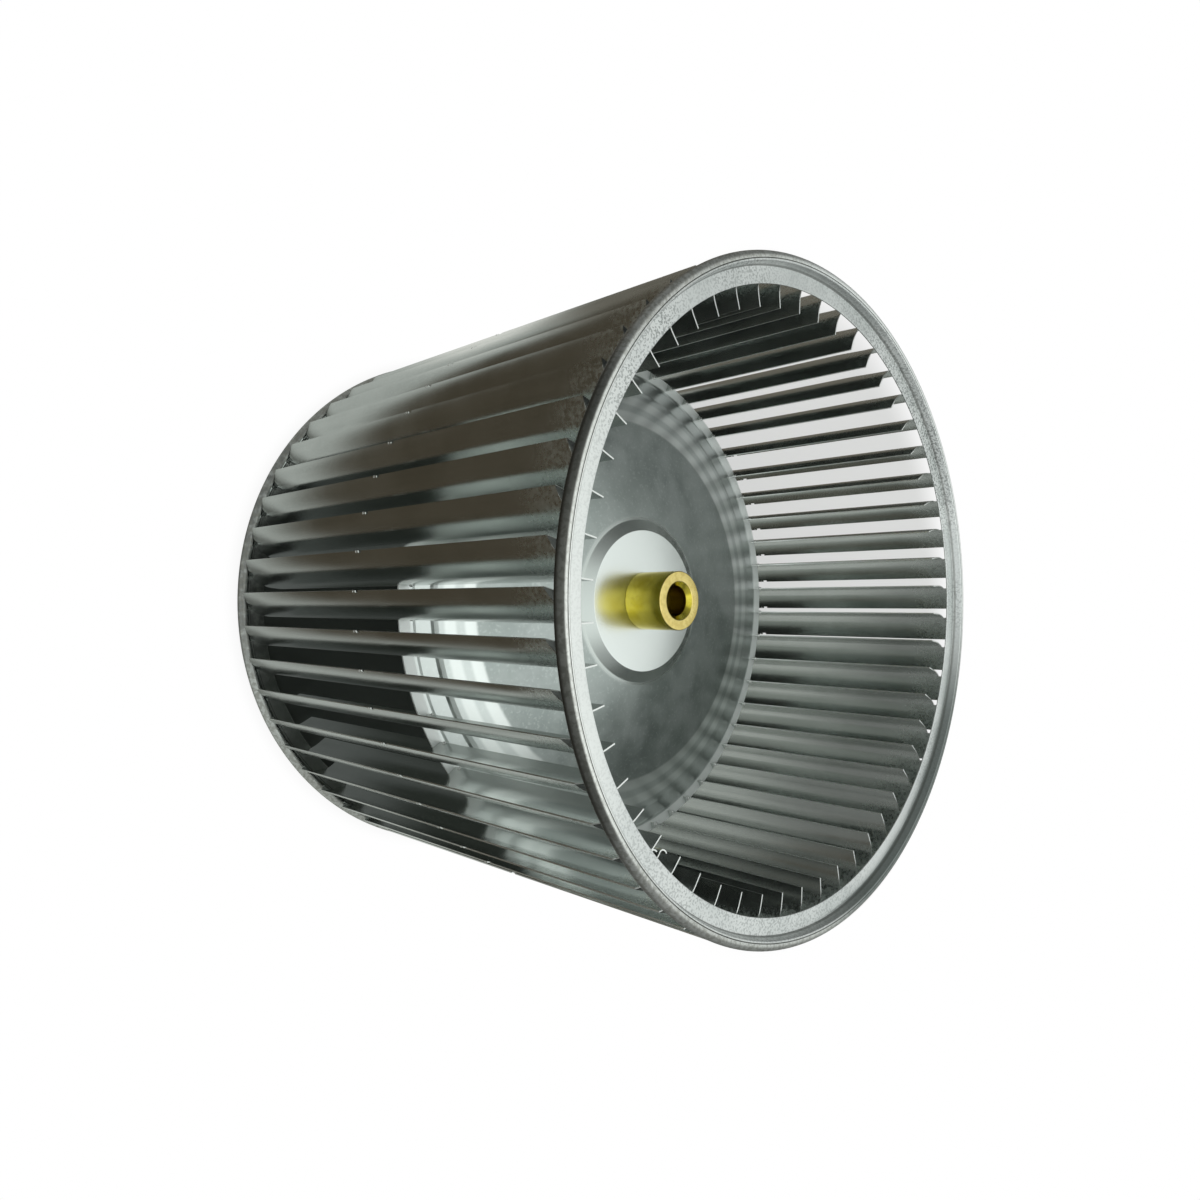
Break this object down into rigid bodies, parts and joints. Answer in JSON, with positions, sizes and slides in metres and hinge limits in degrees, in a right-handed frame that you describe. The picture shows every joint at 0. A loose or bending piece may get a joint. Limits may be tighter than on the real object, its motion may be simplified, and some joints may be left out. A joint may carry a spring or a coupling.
{
  "type": "blower wheel",
  "caption": "Double-inlet blower wheel of galvanised sheet: forward-curved blade strip, two beaded end rings, dished centre plate and a bored hub with a set screw.",
  "frame": {"origin": "on the wheel's axis, in the plane of the far ring's bead crest, which the wheel stands on", "axes": "+Z along the wheel's axis, out of the near end, where the hub's face and bore mouth are; +X points to the inner edge of blade 0"},
  "size_m": [0.254, 0.254, 0.221],
  "materials": {
    "strip_sheet": "galvanised, dull with light speckle and wear",
    "ring_sheet": "galvanised, bright on the rolled bead",
    "plate_sheet": "galvanised, pressed, faintly mottled",
    "hub_plated": "turned and yellow plated",
    "screw_steel": "black oxide"
  },
  "bodies": {
    "root": {"blade_strip": "strip_sheet", "end_ring_near": "ring_sheet", "end_ring_far": "ring_sheet", "centre_plate": "plate_sheet", "hub": "hub_plated", "set_screw": "screw_steel"}
  },
  "joints": []
}
